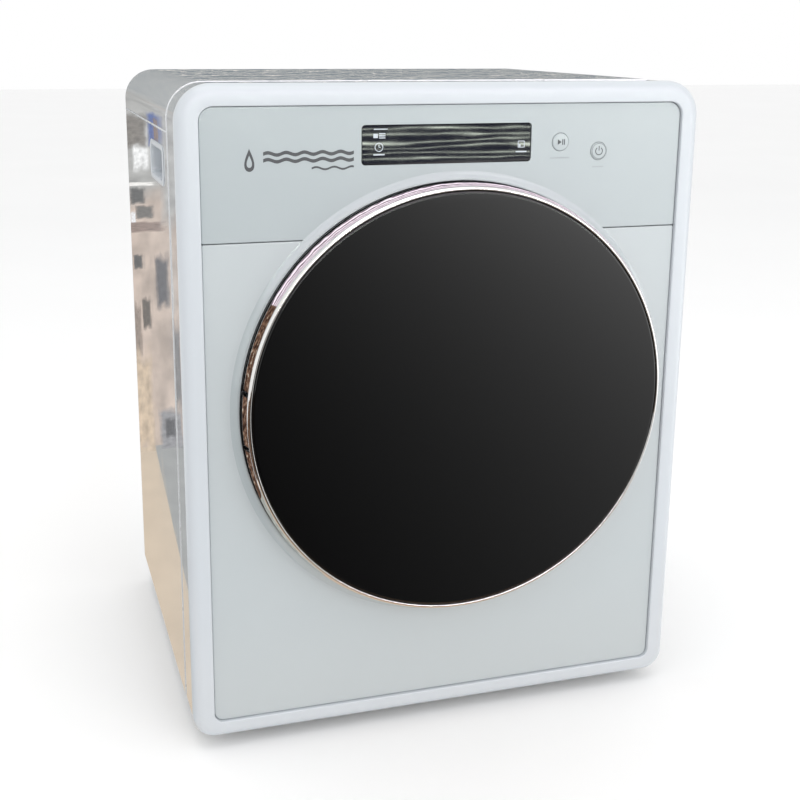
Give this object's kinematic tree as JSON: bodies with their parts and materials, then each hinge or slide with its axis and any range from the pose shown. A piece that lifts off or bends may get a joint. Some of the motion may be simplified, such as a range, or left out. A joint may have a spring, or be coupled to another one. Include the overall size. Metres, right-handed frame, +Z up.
{
  "type": "portable mini washer",
  "caption": "Compact front-loading washing machine with a round black glass door, a control panel with display and push buttons, and a belt-driven drum in a sprung tub.",
  "frame": {"origin": "middle of the bounding box at floor level, under the feet", "axes": "+Z up; the door and controls face -Y; +X is to the right of a person facing the front"},
  "size_m": [0.432, 0.391, 0.539],
  "materials": {
    "gloss_white_enamel": "high gloss",
    "satin_white_plastic": "satin",
    "panel_white_plastic": "semi-gloss",
    "black_glass": "polished",
    "chrome": "mirror",
    "clear_bowl": "polished",
    "dark_plastic": "matte",
    "grey_plastic": "matte",
    "rubber": "matte",
    "stainless_steel": "brushed",
    "galvanised_steel": "satin",
    "circuit_board": "matte",
    "cast_iron": "rough",
    "cast_aluminium": "cast",
    "grey_hose": "matte"
  },
  "bodies": {
    "cabinet": {"back_panel": "gloss_white_enamel", "base_pan": "galvanised_steel", "control_board": "circuit_board", "control_panel": "panel_white_plastic", "damper_cylinder_left": "dark_plastic", "damper_cylinder_right": "dark_plastic", "display_window": "black_glass", "door_lock": "dark_plastic", "door_seal": "rubber", "drain_hose": "grey_hose", "drain_outlet": "dark_plastic", "drain_pump": "grey_plastic", "fill_hose": "grey_hose", "foot_front_left": "rubber", "foot_front_right": "rubber", "foot_rear_left": "rubber", "foot_rear_right": "rubber", "front_band": "gloss_white_enamel", "front_bulkhead": "satin_white_plastic", "front_frame": "satin_white_plastic", "hinge_bracket": "galvanised_steel", "hinge_pin": "stainless_steel", "inlet_valve": "satin_white_plastic", "left_grip_cup": "satin_white_plastic", "left_side_panel": "gloss_white_enamel", "lower_front_panel": "panel_white_plastic", "mains_inlet": "dark_plastic", "rear_service_cover": "gloss_white_enamel", "right_grip_cup": "satin_white_plastic", "right_side_panel": "gloss_white_enamel", "spring_left": "stainless_steel", "spring_right": "stainless_steel", "sump_hose": "grey_hose", "suspension_crossbar": "galvanised_steel", "top_cover": "gloss_white_enamel"},
    "door": {"door_glass": "black_glass", "door_trim_ring": "chrome", "door_inner_frame": "dark_plastic", "door_bowl": "clear_bowl", "hinge_knuckle": "galvanised_steel"},
    "tub": {"tub_front_half": "grey_plastic", "tub_rear_half": "grey_plastic", "front_bearing": "stainless_steel", "rear_bearing": "stainless_steel", "counterweight": "cast_iron", "motor_body": "cast_aluminium", "motor_bracket": "galvanised_steel", "drive_belt": "rubber", "damper_rod_left": "stainless_steel", "damper_rod_right": "stainless_steel"},
    "drum": {"drum_shell": "stainless_steel", "drum_back": "stainless_steel", "drum_paddle_1": "grey_plastic", "drum_paddle_2": "grey_plastic", "drum_paddle_3": "grey_plastic", "drum_spider": "cast_aluminium", "drum_pulley": "cast_aluminium"},
    "motor_shaft": {"motor_rotor": "stainless_steel"},
    "power_key": {"power_button": "satin_white_plastic"},
    "start_key": {"start_button": "satin_white_plastic"}
  },
  "joints": [
    {"name": "door_hinge", "type": "hinge", "parent": "cabinet", "child": "door", "pos_m": [-0.161, -0.1815, 0.2857], "axis": [0, 0, -1], "range_deg": [0, 105]},
    {"name": "tub_travel", "type": "slide", "parent": "cabinet", "child": "tub", "axis": [0, 0, 1], "range_m": [-0.006, 0.006], "stiffness_N_per_m": 5000, "springref_m": 0.02543, "deforming": ["spring_left", "spring_right", "door_seal", "sump_hose", "fill_hose"]},
    {"name": "drum_spin", "type": "hinge", "parent": "tub", "child": "drum", "pos_m": [0.006, 0, 0.2857], "axis": [0, 1, 0], "continuous": true},
    {"name": "motor_spin", "type": "hinge", "parent": "tub", "child": "motor_shaft", "pos_m": [0.12, 0.0845, 0.072], "axis": [0, 1, 0], "continuous": true},
    {"name": "power_press", "type": "slide", "parent": "cabinet", "child": "power_key", "axis": [0, 1, 0], "range_m": [0, 0.0012], "stiffness_N_per_m": 400},
    {"name": "start_press", "type": "slide", "parent": "cabinet", "child": "start_key", "axis": [0, 1, 0], "range_m": [0, 0.0012], "stiffness_N_per_m": 400}
  ],
  "couplings": [
    {"joint": "motor_spin", "follows": "drum_spin", "ratio": 11.3}
  ]
}
